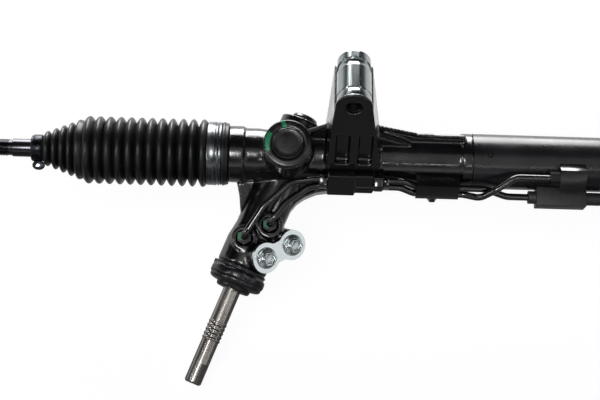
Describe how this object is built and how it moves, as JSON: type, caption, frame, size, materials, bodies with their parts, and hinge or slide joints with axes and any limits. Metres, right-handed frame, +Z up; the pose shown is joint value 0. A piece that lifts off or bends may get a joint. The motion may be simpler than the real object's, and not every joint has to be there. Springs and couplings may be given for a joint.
{
  "type": "steering rack",
  "caption": "Hydraulic rack-and-pinion steering gear with bellows boots, inner tie rods, angled input shaft, fluid lines and two sleeved mount towers.",
  "frame": {"origin": "middle of the left mount bore, on its axis", "axes": "+X along the rack toward the long cylinder end, +Y along the mount bolts toward the rear, +Z up"},
  "size_m": [1.168, 0.235, 0.2382],
  "materials": {
    "painted_casting": "gloss black paint over rough casting",
    "painted_tube": "gloss black paint over drawn tube",
    "bright_steel": "bright zinc plated sleeve",
    "ground_steel": "ground and polished",
    "shaft_steel": "bare steel, oiled and slightly tarnished",
    "zinc_plate": "bright zinc plate",
    "rod_steel": "black phosphate, satin",
    "boot_rubber": "moulded thermoplastic rubber, satin",
    "seal_rubber": "nitrile rubber, matt",
    "clamp_steel": "stainless band",
    "line_steel": "gloss black paint over steel tube",
    "bronze": "sintered bronze",
    "polymer": "acetal",
    "isolator_rubber": "moulded rubber, satin"
  },
  "bodies": {
    "housing": {"rack_housing": "painted_casting", "cylinder_tube": "painted_tube", "right_mount_housing": "painted_casting", "left_mount_sleeve": "bright_steel", "right_mount_sleeve": "bright_steel", "near_port_block": "painted_casting", "far_port_block": "painted_casting", "rack_bush": "bronze", "inner_rack_seal": "seal_rubber", "bulkhead": "ground_steel", "outer_rack_seal": "seal_rubber", "outer_rack_bush": "bronze", "bulkhead_ring": "ground_steel", "pinion_plug": "painted_casting", "pinion_bearing_outer": "ground_steel", "needle_bearing": "ground_steel", "pinion_seal": "seal_rubber", "input_bearing": "ground_steel", "input_seal": "seal_rubber", "dust_cap": "seal_rubber", "yoke": "ground_steel", "yoke_liner": "polymer", "yoke_oring": "seal_rubber", "yoke_spring": "ground_steel", "yoke_cap": "painted_casting", "yoke_locknut": "painted_casting", "far_line": "line_steel", "near_line": "line_steel", "line_nuts": "line_steel", "line_clamp_block": "painted_casting", "line_bracket": "painted_casting", "bracket_bolt": "painted_casting", "line_isolator": "isolator_rubber", "port_cover_plate": "zinc_plate", "port_bolts": "zinc_plate", "left_boot": "boot_rubber", "right_boot": "boot_rubber", "left_boot_band": "clamp_steel", "right_boot_band": "clamp_steel"},
    "rack": {"rack_bar": "ground_steel", "piston": "ground_steel", "piston_ring": "polymer", "piston_clips": "ground_steel", "left_socket": "rod_steel", "right_socket": "rod_steel"},
    "pinion": {"pinion": "ground_steel", "pinion_nut": "ground_steel", "pinion_bearing_inner": "ground_steel", "pinion_bearing_balls": "ground_steel", "valve_sleeve": "ground_steel", "valve_rings": "polymer"},
    "input": {"input_shaft": "shaft_steel", "torsion_bar": "ground_steel"},
    "left_seat": {"left_ball_seat": "polymer"},
    "left_clamp": {"left_rod_clamp": "clamp_steel"},
    "left_rod": {"left_tie_rod": "rod_steel"},
    "right_seat": {"right_ball_seat": "polymer"},
    "right_clamp": {"right_rod_clamp": "clamp_steel"},
    "right_rod": {"right_tie_rod": "rod_steel"}
  },
  "joints": [
    {"name": "rack_slide", "type": "slide", "parent": "housing", "child": "rack", "axis": [1, 0, 0], "range_m": [-0.072, 0.072], "deforming": ["left_boot", "right_boot"]},
    {"name": "pinion_turn", "type": "hinge", "parent": "housing", "child": "pinion", "pos_m": [-0.057, 0.00779, -0.11516], "axis": [-0.3584, -0.8243, -0.4383], "range_deg": [-485, 485]},
    {"name": "valve_twist", "type": "hinge", "parent": "pinion", "child": "input", "pos_m": [-0.057, 0.00779, -0.11516], "axis": [-0.3584, -0.8243, -0.4383], "range_deg": [-3.5, 3.5], "stiffness_Nm_per_rad": 70},
    {"name": "left_rod_fore_aft", "type": "hinge", "parent": "rack", "child": "left_seat", "pos_m": [-0.2255, 0, -0.1005], "axis": [0, 0, 1], "range_deg": [-22, 22]},
    {"name": "left_rod_up_down", "type": "hinge", "parent": "left_seat", "child": "left_clamp", "pos_m": [-0.2255, 0, -0.1005], "axis": [0, 1, 0], "range_deg": [-22, 22]},
    {"name": "left_rod_turn", "type": "hinge", "parent": "left_clamp", "child": "left_rod", "pos_m": [-0.2255, 0, -0.1005], "axis": [1, 0, 0], "continuous": true},
    {"name": "right_rod_fore_aft", "type": "hinge", "parent": "rack", "child": "right_seat", "pos_m": [0.5595, 0, -0.1005], "axis": [0, 0, 1], "range_deg": [-22, 22]},
    {"name": "right_rod_up_down", "type": "hinge", "parent": "right_seat", "child": "right_clamp", "pos_m": [0.5595, 0, -0.1005], "axis": [0, 1, 0], "range_deg": [-22, 22]},
    {"name": "right_rod_turn", "type": "hinge", "parent": "right_clamp", "child": "right_rod", "pos_m": [0.5595, 0, -0.1005], "axis": [1, 0, 0], "continuous": true}
  ],
  "couplings": [
    {"joint": "pinion_turn", "follows": "rack_slide", "rad_per_m": -116.7}
  ]
}
